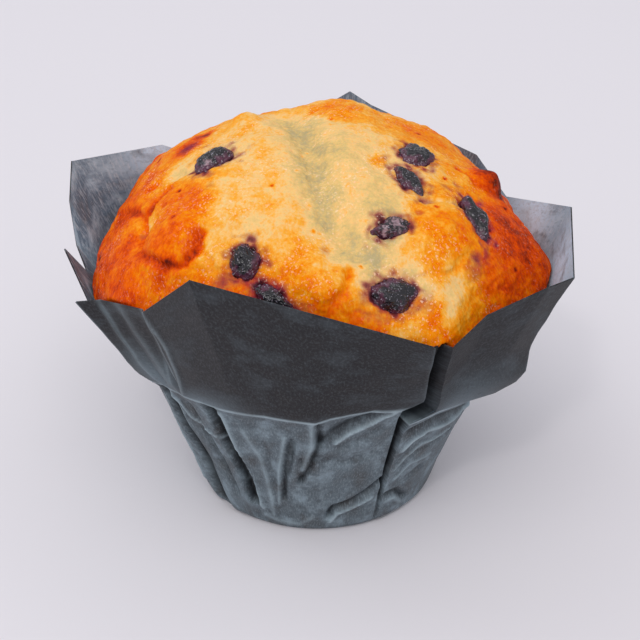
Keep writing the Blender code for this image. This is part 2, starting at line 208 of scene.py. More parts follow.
# The muffin, as in the solid one
CRUMB_GAP = 0.4
CUP_CLEARANCE = 37.0
DOME_CENTRE_HEIGHT = 47.0
DOME_RADIUS = 45.2
DOME_RISE = 33.2
DOME_CENTRE = Vector((0, 0, DOME_CENTRE_HEIGHT))
CRUMB_BOTTOM = 0.85
FLANK_TUCK = 5.0
FLANK_RINGS = 16
CRUST_RIPPLE = 0.35

# The flank's rings run on past the bottom's edge by this factor, to close the bottom
FLANK_RUN = 1.12

# Fine relief of the crust: swells as shares of the grain, pits and thin cracks
CRUST_SWELLS = ((5, 1.0), (2.4, 0.7), (1.1, 0.4))
PIT_SPACING = 3.0
PIT_DEPTH = 0.45
CRACK_DEPTH = 0.3
SEED = 8

# Swellings and hollows of the crust: azimuth and angle from the top, angular width, height
LOBES = (
    (-44, 42, 20, 1.4), (-128, 30, 6, 1.6), (-137, 47, 6, -1.3), (-158, 44, 9, -1.6),
    (-50, 59, 10, 2.8), (-65, 64, 5, -2.2), (-64, 80, 14, 1.5), (-100, 73, 9, -1.4),
    (-80, 86, 8, 0.8), (172, 33, 13, 1.7), (-168, 24, 8, -1), (146, 42, 10, -0.6),
    (112, 45, 12, -1), (118, 64, 8, -1.2), (49, 55, 10, 2.8), (1, 60, 8, 3),
    (-28, 65, 12, 1.4), (33, 75, 12, 1.4), (73, 73, 14, 1.8), (92, 57, 4.5, 3.4),
    (102, 52, 11, -1.6), (96, 75, 9, -2.6), (77, 84, 11, 3.4),
)
SPLIT_BENDS = ((-153, 26), (-150, 12), (-8, 12), (2, 35), (9, 50))
SPLIT_WIDTH = 7.0
SPLIT_DEPTH = 2.6

# How far edges of patches and lines of creases wander, as shares of the dome's radius, and
# how often they do over it
PATCH_WANDER = ((0.04, 5), (0.02, 14))
CREASE_WANDER = ((0.018, 12), (0.008, 34))

# How strong a crease of the crust is on average and how much that changes along it, then over
# how many degrees its raised side rises and falls off
CREASE_STRENGTH = 0.8
CREASE_UNEVENNESS = 0.9
LIP_RISE = 1.2
LIP_FALL = 4

# Creases of the crust: half width, depth, how far the crust on the left of the line stands
# above the rest, browning along the line, which where it is dark also paints the shade in the
# crease, then azimuth and angle from the top of its points
CRUST_CREASES = (
    (1.3, 0.9, 0.45, 0.88, (
        (-76, 50), (-74, 55), (-69, 60), (-65, 64), (-58, 66),
        (-51, 65), (-45, 65), (-40, 62), (-39, 58), (-41, 54),
    )),
    (1.2, 0.8, 0.3, 0.34, ((68, 53), (62, 51.5), (57, 48), (51, 44.5))),
    (1.3, 0.5, 0.2, 0.50, ((43, 47), (38, 50), (32, 54), (30, 58))),
    (1, 0.5, 0.2, 0.50, ((36, 63), (42, 65), (47, 63))),
    (1.2, 0.7, 0.4, 0.62, ((3, 67), (7, 64), (9, 61), (10, 58))),
    (1.1, 0.6, 0.3, 0.44, ((5, 51.5), (-1, 51.5), (-5, 53), (-9, 55))),
    (1.2, 0.8, 0.4, 0.90, ((-89, 69), (-85, 66), (-79, 62), (-72, 60))),
    (0.9, 0.7, 0.3, 0.80, ((-84, 56), (-85, 53), (-78, 53))),
    (2.6, 0.9, 0, 0.20, ((-70, 31), (-76, 38), (-80, 43), (-83, 51))),
    (1.1, 0.6, 0.3, 0.80, ((89, 70), (86, 62), (84, 54), (88, 47))),
    (0.9, 0.5, 0.2, 0.55, ((-38, 57), (-30, 61), (-24, 62))),
    (0.9, 0.6, 0.2, 0.85, ((109, 60), (104, 66), (107, 73), (118, 76))),
    (0.9, 0.6, 0.3, 0.80, ((150, 52), (158, 58), (171, 60), (178, 66))),
    (1, 0.7, 0.3, 0.84, ((-118, 62), (-128, 60), (-140, 63), (-146, 70))),
)

# Places where the crust has torn open to pale, pitted crumb: azimuth and angle from the top,
# angular width, how open
TORN_PLACES = (
    (17, 54, 5.5, 0.9), (30, 44, 5, 0.6), (26, 50, 4, 0.7), (-66, 63, 3, 0.7),
    (-37, 56, 3, 0.4), (2, 30, 6, 0.5), (150, 48, 5, 0.7), (-108, 52, 4, 0.6),
)

# How brown the crust is by its angle from the top, then patches of it: azimuth and angle
# from the top, angular width, and browning
BROWNING = ((0, 0.26), (30, 0.32), (50, 0.48), (65, 0.64), (90, 0.80))
BAKED_PATCHES = (
    (-42, 42, 13, 0.33), (-127, 28, 8, 0.42), (-62, 21, 10, 0.34), (-83, 28, 5, 0.20),
    (-105, 46, 5, 0.94), (-98, 56, 6, 0.62), (-86, 45, 5, 0.34), (-70, 51, 5, 0.62),
    (-58, 49, 7, 0.63), (-48, 56, 8, 0.71), (-46, 62, 4, 0.78), (-81, 60, 5, 0.56),
    (-93, 64, 8, 0.66), (-84, 69, 6, 0.77), (-75, 69, 4, 0.58), (-66, 73, 6, 0.76),
    (-51, 71, 7, 0.60), (-61, 80, 9, 0.74), (-44, 67, 4, 0.66), (-36, 65, 5, 0.58),
    (-30, 62, 4, 0.52), (-66, 62, 3.5, 0.30), (-37, 57, 5, 0.22), (-1, 57, 6, 0.46),
    (9, 64, 5, 0.56), (-5, 64, 5, 0.58), (1, 62, 4, 0.58), (-22, 47, 8, 0.30), (14, 63, 3, 0.50),
    (135, 22, 9, 0.52), (165, 27, 9, 0.56), (-170, 30, 6, 0.50), (122, 36, 9, 0.58),
    (115, 45, 8, 0.60), (19, 9, 12, 0.18), (32, 32, 12, 0.22), (60, 24, 3.5, 0.50),
    (100, 33, 8, 0.44), (48, 50, 6, 0.46), (52, 53, 4, 0.60), (46, 58, 5, 0.56),
    (73, 68, 11, 0.84), (60, 78, 10, 0.72), (45, 75, 7, 0.60), (90, 62, 5, 0.84), (92, 57, 5, 1),
    (36, 76, 6, 0.56), (24, 75, 8, 0.46), (47, 68, 4, 0.50), (33, 58, 4, 0.32), (38, 58, 3, 0.44),
    (42, 65, 4, 0.42), (30, 66, 4, 0.26), (39, 69, 5, 0.20), (37, 72, 3, 0.36), (28, 62, 4, 0.22),
    (18, 56, 7, 0), (28, 51, 4, 0.04), (33, 42, 5, 0.10), (-119, 44, 4, 0.92),
    (-14, 23, 0.9, 1), (-3, 31, 0.7, 0.85), (-4, 36, 0.8, 0.90), (-45, 63, 1.2, 0.95),
    (-64, 52, 1.2, 0.72),
)
SPLIT_BROWNING = 0.05

# Juice that has run into the crust: azimuth and angle from the top, angular width, strength
JUICE_SPOTS = (
    (-55, 41, 2, 0.42), (3, 52, 2, 0.45), (-67, 64, 1.2, 0.60), (-104, 45, 3.4, 0.75),
    (-97, 38, 2, 0.40), (-24, 52, 2.8, 0.60), (-17, 53, 2.2, 0.45), (-21, 61, 2.6, 1.00),
    (-27, 63, 3, 0.70), (-17, 61, 2.2, 0.75), (-78, 41, 1.6, 0.70), (30, 70, 3, 0.50),
    (14, 65, 2.4, 0.75), (16, 70, 2.2, 0.50), (52, 65, 2.2, 0.85), (49, 67, 3.2, 0.55),
    (33, 45, 3, 0.40), (60, 40, 2.6, 0.75), (71, 38, 2.2, 0.75), (63, 29, 2, 0.50),
)

# Berries: azimuth and angle from the top, length, width and thickness, turn of the length
# from level, and how far the middle lies under the crust
BERRIES = (
    (-74, 35, 8.6, 6, 5, -76, 0.9), (-23, 57, 7.6, 6.2, 5.6, -69, 1.4),
    (-12, 65, 8.6, 4.2, 4.6, -27, 1.2), (83, 34, 7.2, 7.6, 5.2, -81, 1.2),
    (57, 37, 8.6, 4.4, 4.4, 72, 1), (31, 48, 8.4, 4.6, 4.8, -3, 1.4),
    (64, 57, 10.6, 6, 6, 52, 1.5), (22, 66, 10.2, 7.2, 7, -11, 1.9),
)
BERRY_WRINKLE = 0.09

# Round a berry: how far the crust dips, then under it the pocket's depth as a share of the
# berry's, the width of the pocket's wall as a share of its size, and how stained it is
POCKET_DIP = 0.35
POCKET_SHARE = 0.9
POCKET_WALL = 0.14
POCKET_STAIN = 0.8

# How far juice has run round a berry and how strong it is, each with how much it changes
JUICE_SPREAD = (1.9, 1.8)
JUICE_STRENGTH = (0.7, 0.8)

# The skin: swelling of the whole berry, distance between wrinkles, and share that folds down
SKIN_SWELL = 0.14
WRINKLE_SPACING = 1.25
WRINKLE_SHARE = 0.28

# Whitish film of burst flesh on a berry: its number, middle in the berry's frame, and radius
BERRY_VEILS = ((1, 1.6, 1.2, 0.9), (6, 0.4, 0.2, 1.6), (6, -2.4, -0.4, 0.9))


def colour(code):
    """The linear colour of an sRGB hex value."""
    channels = [int(code[place:place + 2], 16) / 255 for place in (1, 3, 5)]
    linear = [c / 12.92 if c <= 0.04045 else ((c + 0.055) / 1.055) ** 2.4 for c in channels]
    return (*linear, 1.0)


def between(table, x):
    """The value that straight lines between the table's pairs give at x."""
    for (x0, y0), (x1, y1) in zip(table, table[1:]):
        if x <= x1:
            return y0 + (y1 - y0) * (x - x0) / (x1 - x0)
    return table[-1][1]


def around(azimuth, radius, height):
    """A point given by its azimuth in degrees, radius and height."""
    angle = math.radians(azimuth)
    return Vector((radius * math.sin(angle), -radius * math.cos(angle), height))


def wrapped(azimuth):
    """The same azimuth between -180 and 180 degrees."""
    return (azimuth + 180) % 360 - 180


def smooth_step(t):
    t = min(max(t, 0.0), 1.0)
    return t * t * (3 - 2 * t)


def direction(azimuth, polar):
    """A unit vector from its azimuth and its angle from the top."""
    angle = math.radians(polar)
    return around(azimuth, math.sin(angle), math.cos(angle))


def bell(distance, width):
    """1 in the middle, falling smoothly to nothing a few widths away."""
    share = distance / width
    return math.exp(-share * share) if share < 4 else 0.0


def swells(place, waves):
    """Soft noise at a place, as the sum of waves of the given sizes and heights."""
    return sum(height * noise.noise(place / size) for size, height in waves)


def finish_piece(name, builder, materials, replaced):
    """Makes the piece's object, hides the solid that it stands for and lets it ride."""
    mesh = bpy.data.meshes.new(name)
    builder.to_mesh(mesh)
    builder.free()
    for material in materials:
        mesh.materials.append(material)
    piece = bpy.data.objects.new(name, mesh)
    bpy.context.scene.collection.objects.link(piece)
    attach(piece, "root")
    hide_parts(replaced)


def new_material(name):
    """An empty node material: its tree and its shader."""
    material = bpy.data.materials.new(name)
    material.use_nodes = True
    return material, material.node_tree, material.node_tree.nodes["Principled BSDF"]


def add_node(tree, kind, settings=None, links=None, output=0):
    """Adds a node, sets its properties and sockets by name or number, links to its sockets and
    returns one of its outputs."""
    node = tree.nodes.new("ShaderNode" + kind)
    for name, value in (settings or {}).items():
        if name == "stops":
            while len(node.color_ramp.elements) < len(value):
                node.color_ramp.elements.new(1.0)
            for element, (position, shade) in zip(node.color_ramp.elements, value):
                element.position = position
                element.color = shade
        elif isinstance(name, int) or name in node.inputs:
            node.inputs[name].default_value = value
        else:
            setattr(node, name, value)
    for name, socket in (links or {}).items():
        tree.links.new(socket, node.inputs[name])
    return node.outputs[output]


def link_shader(tree, shader, links):
    """Links outputs to the shader's sockets."""
    for name, output in links.items():
        tree.links.new(output, shader.inputs[name])


def colour_setting(name, description, code):
    """A setting for a colour, which starts as an sRGB hex value."""
    return FloatVectorProperty(
        name=name, description=description, default=colour(code),
        subtype="COLOR", size=4, min=0, max=1,
    )


def length_setting(name, description, millimetres):
    """A setting for a length, which starts at some millimetres."""
    return FloatProperty(
        name=name, description=description, default=millimetres * MM, unit="LENGTH",
    )


class MuffinPaper(bpy.types.PropertyGroup):
    """Sizes and colours of the greaseproof paper."""

    thickness: length_setting("Thickness", "Thickness that the paper is drawn with", 0.3)
    spacing: length_setting("Spacing", "Distance between the sheet's lines at the crease", 0.4)
    crumple: length_setting("Crumple", "Depth of the soft dents of the cup", 0.36)
    outside: colour_setting("Outside", "Colour of the smooth outer side of the petals", "#201f22")
    # The cup's lighter blue-grey is partly the pressed paper's own colour and partly a painted
    # reflection of the pale floor
    cup: colour_setting("Cup", "Colour of the pressed cup", "#495157")
    inside: colour_setting("Inside", "Colour of the inner side of the petals", "#5a6f80")


class MuffinCrust(bpy.types.PropertyGroup):
    """Sizes and gloss of the baked crust."""

    columns: IntProperty(
        name="Columns", description="Columns of faces round the muffin", default=500, min=80,
    )
    rings: IntProperty(
        name="Rings", description="Rings of faces from the top of the dome to its widest",
        default=170, min=40,
    )
    grain: length_setting("Grain", "Height of the crust's fine swells", 0.42)
    oil: FloatProperty(
        name="Oil", description="How much of the crust's oil shines",
        default=0.18, min=0, max=1, subtype="FACTOR",
    )


class MuffinBerries(bpy.types.PropertyGroup):
    """Wrinkles and colour of the baked berries."""

    wrinkle: length_setting("Wrinkles", "Depth of the skin's fine wrinkles", 0.28)
    skin: colour_setting("Skin", "Colour of the baked skin", "#141116")


class MuffinStage(bpy.types.PropertyGroup):
    """The floor, the lights and the camera."""

    floor: colour_setting("Floor", "Colour of the pale floor", "#dfdbdf")
    elevation: FloatProperty(
        name="Elevation", description="Angle of the camera above the floor",
        default=math.radians(32), subtype="ANGLE", unit="ROTATION",
    )
    distance: length_setting("Distance", "From the camera to the middle of the muffin", 400)
    key: FloatProperty(
        name="Key light", description="Power of the soft light above",
        default=8.2, min=0, subtype="POWER",
    )


# The sheet of paper


class PetalFold(NamedTuple):
    """One line of the paper, from the base by way of the crease to the rim."""

    azimuth: float
    inset: float
    belly: float
    rim: Vector
    worn_and_lit: float

    def blend(self, other, share):
        """The plain line at a share of the way to another one."""
        sizes = (here + (there - here) * share for here, there in zip(self[:3], other[:3]))
        return PetalFold(*sizes, self.rim.lerp(other.rim, share), 0.0)


def petal_folds():
    """The named folds in order round the case, closed by a copy of the first."""
    folds = []
    for azimuth, inset, belly, rim_azimuth, rim_radius, rim_height, worn_and_lit in PETAL_FOLDS:
        rim = around(rim_azimuth, rim_radius, rim_height)
        folds.append(PetalFold(azimuth, inset, belly, rim, worn_and_lit))
    folds.append(folds[0]._replace(azimuth=folds[0].azimuth + 360))
    return folds


def sheet_columns(folds, spacing):
    """Every line of the sheet: the folds and lines in between."""
    widest = math.degrees(spacing / CREASE_RADIUS)
    columns = []
    for fold, following in zip(folds, folds[1:]):
        coarseness = 1 if abs(wrapped(fold.azimuth)) < FRONT_HALF else BACK_COARSENESS
        steps = max(1, math.ceil((following.azimuth - fold.azimuth) / (widest * coarseness)))
        columns += [fold.blend(following, step / steps) for step in range(steps)]
    return columns


def unrolled(creases, degree, height):
    """Creases as lines on the flat: the length of a degree and of a unit of height is given."""
    flat = []
    for half_width, depth, wear, points in creases:
        line = [Vector((azimuth * degree, up * height)) for azimuth, up in points]
        flat.append((half_width, depth, wear, line))
    return flat


def cup_creases():
    """The creases of the front, and drawn ones like them round the back."""
    creases = list(CUP_CREASES)
    draw = random.Random(SEED)
    for _ in range(BACK_CREASES):
        azimuth = wrapped(draw.uniform(*BACK_CREASE_RANGE))
        height = draw.uniform(4, 26)
        lean = draw.uniform(-9, 9)
        reach = draw.uniform(5, 12)
        points = (
            (azimuth, height),
            (azimuth + lean * 0.4, height + reach / 2),
            (azimuth + lean, height + reach),
        )
        depth = draw.choice((-0.4, -0.3, 0.5, 0.6, 0.8))
        creases.append((draw.uniform(0.5, 1.0), depth, 0.8 if depth < 0 else 0.1, points))
    return unrolled(creases, math.radians(CUP_RADIUS), 1.0)


def from_line(spot, line):
    """The distance from a spot to a line of several points, and the nearest part's ends."""
    nearest, part = math.inf, None
    for start, end in zip(line, line[1:]):
        place, share = intersect_point_line(spot, start, end)
        distance = (spot - start.lerp(end, min(max(share, 0.0), 1.0))).length
        if distance < nearest:
            nearest, part = distance, (start, end)
    return nearest, part


def crease_relief(spot, creases):
    """How far creases raise the paper at a spot, and how cracked its coating is there, which also
    paints edge highlights.
    """
    out, wear = 0.0, 0.0
    for half_width, depth, cracked, line in creases:
        if min(abs(spot.x - point.x) for point in line) > CREASE_WINDOW:
            continue
        distance = from_line(spot, line)[0]
        share = max(0.0, 1 - distance / (GROOVE_REACH * half_width))
        out -= depth * (smooth_step(2 * share) if depth > PLEAT_DEPTH else share**1.4)
        out += BESIDE_SHARE * depth * bell(distance - BESIDE_GROOVE * half_width, half_width)
        wear = max(wear, cracked * bell(distance, half_width * 0.7))
    return out, wear


def crumpled(place, crumple):
    """Dents of crumpled paper: flat facets that meet in sharp lines, on soft swells. Also how
    cracked the coating is along these lines, a faint pale line that also paints their edge light."""
    distances = noise.voronoi(place / FACET_SIZE)[0]
    facet = min(distances[1] - distances[0], 0.6)
    return crumple * (swells(place, CUP_SWELLS) + 1.3 * (facet - 0.25)), 0.12 * bell(facet, 0.04)


def cup_relief(azimuth, height, share, creases, crumple):
    """How far the cup stands out at a place, and how cracked its coating is there, which also
    paints edge highlights.
    """
    out, wear = crease_relief(Vector((math.radians(azimuth) * CUP_RADIUS, height)), creases)
    dents, cracks = crumpled(around(azimuth, BASE_RADIUS, height * 0.6), crumple)
    out += dents
    # The relief fades out at the base's edge and at the crease
    return out * smooth_step(share * 12) * smooth_step((1 - share) * 22), max(wear, cracks)


def cup_point(column, share, creases, crumple):
    """A point on a column between the base, share 0, and the crease, share 1, with how far
    it stands out there and how cracked the coating is, which also paints edge highlights."""
    azimuth = wrapped(column.azimuth)
    base_azimuth = between(BASE_AZIMUTHS, azimuth)
    crease_height = between(CREASE_HEIGHTS, azimuth)
    height = crease_height * share
    radius = BASE_RADIUS + (CREASE_RADIUS - column.inset - BASE_RADIUS) * share
    below_lip = (crease_height - height) / LIP_HEIGHT
    radius -= LIP_UNDERCUT * min(below_lip, 1.0) * smooth_step(share * 2)
    place_azimuth = base_azimuth + (azimuth - base_azimuth) * share
    out, wear = cup_relief(place_azimuth, height, share, creases, crumple)
    # How far it stands out sets the paper's painted ridge light and painted hollow shade; a set-in
    # column counts as sunk
    return around(place_azimuth, radius + out, height), out - column.inset * share, wear


def petal_foot(column, rise):
    """Where a petal's column starts: just above the crease, folded over to the side."""
    azimuth = wrapped(column.azimuth)
    foot_azimuth = azimuth + between(FOOT_SHIFTS, azimuth) * smooth_step(rise / FOOT_RISE)
    # The front petal keeps its own height where it hangs over the next one
    level = azimuth if azimuth < SLOT_AZIMUTH else foot_azimuth
    return around(foot_azimuth, CREASE_RADIUS - column.inset, between(CREASE_HEIGHTS, level))


def petal_point(column, rise, creases):
    """A point on a column between the crease, rise 0, and the rim, rise 1, with how far it
    stands out and how cracked the coating is, which also paints edge highlights."""
    place = petal_foot(column, rise).lerp(column.rim, rise)
    place += around(column.azimuth, column.belly * between(BELLY_PROFILE, rise), 0.0)
    inside = smooth_step(rise * 5) * smooth_step((1 - rise) * 5)
    sway = swells(place, PETAL_SWELLS) * inside
    spot = Vector((wrapped(column.azimuth) * PETAL_DEGREE, rise * PETAL_HEIGHT))
    out, wear = crease_relief(spot, creases)
    out *= smooth_step(rise * 8) * smooth_step((1 - rise) * 5)
    place += around(column.azimuth, sway + out, 0.0)
    # How far it stands out sets the painted hollow shade; the slot's set-in columns count as partly
    # sunk
    return place, out - 0.3 * column.inset, wear


def cracked_and_lit_line(distance):
    """How cracked the coating is this far, in millimetres, from the middle of a folded line; the
    pale line also paints the fold's edge highlight.
    """
    return max(0.0, 1 - abs(distance) / CRACK_REACH)


def paleness(azimuth, rise, patches):
    """How pale the patches make a petal."""
    return max(
        bell(math.hypot((azimuth - middle) / width, (rise - level) / height), 1.0)
        for middle, level, width, height in patches
    )


def sheet_rows():
    """Rows of the sheet: 0 to 1 crosses the bottom, 1 to 2 climbs the cup, 2 to 3 the petal."""
    rows = [0.0, 0.4, 0.7, 0.9, 1.0]
    rows += [1 + ring / CUP_RINGS for ring in range(1, CUP_RINGS + 1)]
    rows += [2 + FOOT_RISE / 4, 2 + FOOT_RISE / 2]
    rows += [2 + ring / PETAL_RINGS for ring in range(1, PETAL_RINGS + 1)]
    return rows


# What each vertex of the sheet keeps for the paper's material: whether it is in the cup, how
# cracked its coating is with the painted edge highlight, how far it stands out, and how much
# painted sheen it has outside and inside
SHEET_LAYERS = ("cup", "wear", "raised", "rubbed", "bleached")


def paper_sheet(settings):
    """The folded sheet, bent round from a flat grid."""
    folds = petal_folds()
    columns = sheet_columns(folds, settings.spacing / MM)
    rows = sheet_rows()
    creases = cup_creases()
    petal_creases = unrolled(PETAL_CREASES, PETAL_DEGREE, PETAL_HEIGHT)
    crumple = settings.crumple / MM
    lowest = BASE_ROUNDING / CREASE_RADIUS
    worn_and_lit_folds = [(fold.azimuth, fold.worn_and_lit) for fold in folds if fold.worn_and_lit]

    sheet = bmesh.new()
    along = sheet.verts.layers.float_vector.new("sheet")
    origin = sheet.verts.layers.float_vector.new("origin")
    shares = [sheet.verts.layers.float.new(name) for name in SHEET_LAYERS]
    bmesh.ops.create_grid(sheet, x_segments=len(columns), y_segments=len(rows) - 1, size=0.5)
    for vertex in sheet.verts:
        column = columns[round((vertex.co.x + 0.5) * len(columns)) % len(columns)]
        row = rows[round((vertex.co.y + 0.5) * (len(rows) - 1))]
        azimuth = wrapped(column.azimuth)
        out, wear, pale, inner_sheen_share = 0.0, 0.0, 0.0, 0.0
        if row <= 1:
            radius = (BASE_RADIUS - BASE_ROUNDING) * row
            place = around(between(BASE_AZIMUTHS, azimuth), radius, 0.0)
        elif row <= 2:
            share = lowest + (1 - lowest) * (row - 1)
            place, out, wear = cup_point(column, share, creases, crumple)
            wear = max(wear, CREASE_WEAR_AND_LIGHT * cracked_and_lit_line((2 - row) * CREASE_RADIUS))
        else:
            place, out, wear = petal_point(column, row - 2, petal_creases)
            # How much painted sheen the petal gets, outside and inside
            pale = paleness(azimuth, row - 2, OUTER_SHEEN_PATCHES)
            inner_sheen_share = paleness(azimuth, row - 2, INNER_SHEEN_PATCHES)
            wear = max(wear, CREASE_WEAR_AND_LIGHT * cracked_and_lit_line((row - 2) * PETAL_HEIGHT))
            degree = math.radians(place.xy.length)
            for fold_azimuth, strength in worn_and_lit_folds:
                wear = max(wear, strength * cracked_and_lit_line((column.azimuth - fold_azimuth) * degree))
        vertex.co = place * MM
        vertex[origin] = vertex.co
        flat = Vector((math.radians(column.azimuth), row, 0)) * CREASE_RADIUS
        vertex[along] = flat * MM
        in_cup = smooth_step((2.02 - row) / 0.04)
        for layer, value in zip(shares, (in_cup, wear, out, pale, inner_sheen_share)):
            vertex[layer] = value
    bmesh.ops.remove_doubles(sheet, verts=sheet.verts, dist=0.002 * MM)
    bmesh.ops.recalc_face_normals(sheet, faces=sheet.faces)
    return sheet


class MUFFIN_OT_paper_case(bpy.types.Operator):
    """Fold the dark greaseproof case"""

    bl_idname = "muffin.paper_case"
    bl_label = "Paper case"

    def execute(self, context):
        settings = context.scene.muffin_paper
        sheet = paper_sheet(settings)
        outer = set(sheet.faces)
        outer_points = set(sheet.verts)
        bmesh.ops.solidify(sheet, geom=sheet.faces[:], thickness=settings.thickness)
        origin = sheet.verts.layers.float_vector["origin"]
        for vertex in sheet.verts:
            offset = vertex.co - vertex[origin]
            if offset.length > FOLDED_STRETCH * settings.thickness:
                vertex.co = vertex[origin] + offset.normalized() * settings.thickness
        for face in sheet.faces:
            face.smooth = True
            at_rim = not outer_points.isdisjoint(face.verts)
            face.material_index = 0 if face in outer or at_rim else 1
        # Only now, because a set of vertices no longer matches once a layer is gone
        sheet.verts.layers.float_vector.remove(origin)
        for edge in sheet.edges:
            if len(edge.link_faces) == 2 and edge.calc_face_angle(0.0) > SHARP_FOLD:
                edge.smooth = False
        outside = greaseproof("Greaseproof paper, glazed outside", settings, False)
        inside = greaseproof("Greaseproof paper, fibrous inside", settings, True)
        finish_piece("folded_case", sheet, (outside, inside), "paper_case")
        return {"FINISHED"}


def greaseproof(name, settings, inside):
    """Greaseproof paper: pulp beaten until it is dense, dyed dark grey and pressed smooth.
    It has a faint waxy shine, cloudy fibres, and pale lines where a fold cracks its face, which
    also paint highlights on the fold edges. Painted light makes raised parts of the cup and
    patches of the petals paler, and painted shade darkens the hollows."""
    material, tree, shader = new_material(name)
    sheet = add_node(tree, "Attribute", {"attribute_name": "sheet"}, output="Vector")
    cup, wear, raised, rubbed, bleached = (
        add_node(tree, "Attribute", {"attribute_name": layer}, output="Fac")
        for layer in SHEET_LAYERS
    )
    # palest is the tint of the painted sheen patches and of the cup's painted ridge light
    if inside:
        plain, light, dull = settings.inside, colour("#a9bfcd"), colour("#55595e")
        cloudiness, streakiness, fibre_length = 0.75, 0.8, 3 * MM
        palest, paling, pale_share = colour("#c8e6fb"), bleached, 1.0
    else:
        plain, light, dull = settings.outside, colour("#8fa0aa"), colour("#3b3532")
        cloudiness, streakiness, fibre_length = 0.08, 0.08, 0.9 * MM
        palest, paling, pale_share = colour("#84959f"), rubbed, 0.5

    # Fibres run up the sheet: 0.4 mm wide, coarser than real ones so that they show
    scale = (1 / (0.4 * MM), 1 / fibre_length, 1)
    stretched = add_node(tree, "Mapping", {"Scale": scale}, {"Vector": sheet})
    fibres, clouds, specks = (
        add_node(
            tree, "TexNoise", {"Scale": scale, "Detail": detail, "Roughness": roughness},
            {"Vector": vector},
        )
        for scale, detail, roughness, vector in (
            (1.0, 5.0, 0.7, stretched),
            (1 / (7 * MM), 6.0, 0.62, sheet),
            (1 / (0.8 * MM), 4.0, 0.7, sheet),
        )
    )

    # Painted light: what stands out of the cup is paler, and the petals get their painted sheen
    ridge_light_share = add_node(
        tree, "MapRange", {"From Min": -0.4, "From Max": 0.8, "To Max": 0.5}, {"Value": raised},
    )
    cup_ridge_light = add_node(tree, "Math", {"operation": "MULTIPLY"}, {0: ridge_light_share, 1: cup})
    pale_petal = add_node(tree, "Math", {"operation": "MULTIPLY", 1: pale_share}, {0: paling})
    pale = add_node(tree, "Math", {"operation": "MAXIMUM"}, {0: cup_ridge_light, 1: pale_petal})

    # Blue-grey and brown-grey clouds and pale streaks, weaker or stronger on the cup
    clouding, streaking = (
        add_node(tree, "MapRange", {"To Min": petal_share, "To Max": cup_share}, {"Value": cup})
        for petal_share, cup_share in ((cloudiness, 0.55), (streakiness, 0.3))
    )
    bluish, brownish, streaks = (
        add_node(tree, "Math", {"operation": "MULTIPLY"}, {
            0: add_node(tree, "MapRange", {"From Min": low, "From Max": high}, {"Value": pattern}),
            1: strength,
        })
        for pattern, low, high, strength in (
            (clouds, 0.50, 0.66, clouding),
            (clouds, 0.48, 0.34, clouding),
            (fibres, 0.48, 0.72, streaking),
        )
    )
    specked = add_node(
        tree, "MapRange", {"From Min": 0.52, "From Max": 0.72, "To Max": 0.35}, {"Value": specks},
    )

    # Painted shade: the hollows of pleats, grooves and the slot are darkened towards near black
    hollow_shade = add_node(
        tree, "MapRange", {"From Min": -0.35, "From Max": -1.7, "To Max": 0.9}, {"Value": raised},
    )

    # Cracked coating and painted edge highlight: a pale line about 0.5 mm wide along each fold,
    # broken here and there
    broken = add_node(
        tree, "MapRange", {"From Min": 0.3, "From Max": 0.55, "To Min": 0.45, "To Max": 0.9},
        {"Value": clouds},
    )
    cracked = add_node(tree, "Math", {"operation": "MULTIPLY"}, {0: wear, 1: broken})

    # The cup's colour is partly its own and partly a painted reflection of the pale floor
    shade = add_node(tree, "MixRGB", {"Color1": plain, "Color2": settings.cup}, {"Fac": cup})
    for share, tint in (
        (pale, palest),
        (bluish, light),
        (brownish, dull),
        (streaks, colour("#b6c4cd")),
        (specked, colour("#26211f")),
        # painted shade in the hollows
        (hollow_shade, colour("#121316")),
        (cracked, colour("#a3b4bc")),
    ):
        shade = add_node(tree, "MixRGB", {"Color2": tint}, {"Fac": share, "Color1": shade})
    roughness = add_node(tree, "MapRange", {"To Min": 0.45, "To Max": 0.7}, {"Value": clouds})
    rough = add_node(tree, "Math", {"operation": "ADD"}, {0: fibres, 1: specks})
    bump = add_node(tree, "Bump", {"Strength": 0.35, "Distance": 0.15 * MM}, {"Height": rough})
    link_shader(tree, shader, {"Base Color": shade, "Roughness": roughness, "Normal": bump})
    shader.inputs["IOR"].default_value = 1.34
    return material


# The crust


def ripples():
    """Directions, counts and phases of the fine swells of the crust."""
    draw = random.Random(SEED)
    waves = []
    for count in (7, 9, 12, 15, 19):
        axis = Vector((draw.uniform(-1, 1), draw.uniform(-1, 1), draw.uniform(-1, 1))).normalized()
        waves.append((axis * count, draw.uniform(0, math.tau)))
    return waves


def dome_distance(towards):
    """How far the plain dome's surface is from its centre in a direction."""
    across = math.hypot(towards.x, towards.y) / DOME_RADIUS
    return 1 / math.hypot(across, towards.z / DOME_RISE)


def spots_on_dome(rows):
    """Rows of azimuth, angle from the top, width and value as directions that are quick to test."""
    spots = []
    for azimuth, polar, width, value in rows:
        least = math.cos(math.radians(3 * width))
        spots.append((direction(azimuth, polar), least, width, value))
    return spots


def near_spots(towards, spots):
    """The value and weight of each spot that reaches a direction."""
    for middle, least, width, value in spots:
        closeness = towards.dot(middle)
        if closeness > least:
            yield value, bell(math.degrees(math.acos(min(closeness, 1.0))), width)


